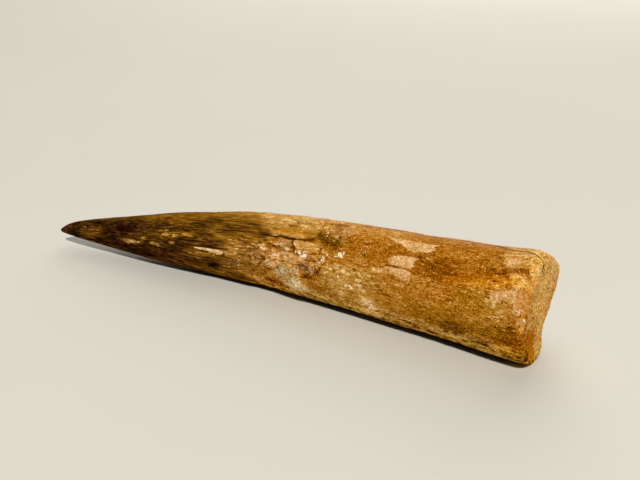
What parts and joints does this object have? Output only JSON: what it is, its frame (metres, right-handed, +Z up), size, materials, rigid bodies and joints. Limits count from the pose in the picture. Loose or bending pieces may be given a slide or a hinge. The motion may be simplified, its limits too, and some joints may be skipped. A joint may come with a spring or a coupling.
{
  "type": "fossil tooth",
  "caption": "Long, gently bowed conical fossil tooth lying on its side: a dark fluted crown, a ragged enamel edge with chips and pits, and a thick rough root with a broken end.",
  "frame": {"origin": "centre of the tooth's footprint, on the surface that it lies on", "axes": "+X along the tooth from the tip to the broken end of the root, +Y towards the side that the tooth bows out to, +Z up"},
  "size_m": [0.132, 0.0244, 0.0242],
  "materials": {
    "fossil": "satin on the crown, dull and sandy on the root"
  },
  "bodies": {
    "root": {"tooth": "fossil"}
  },
  "joints": []
}
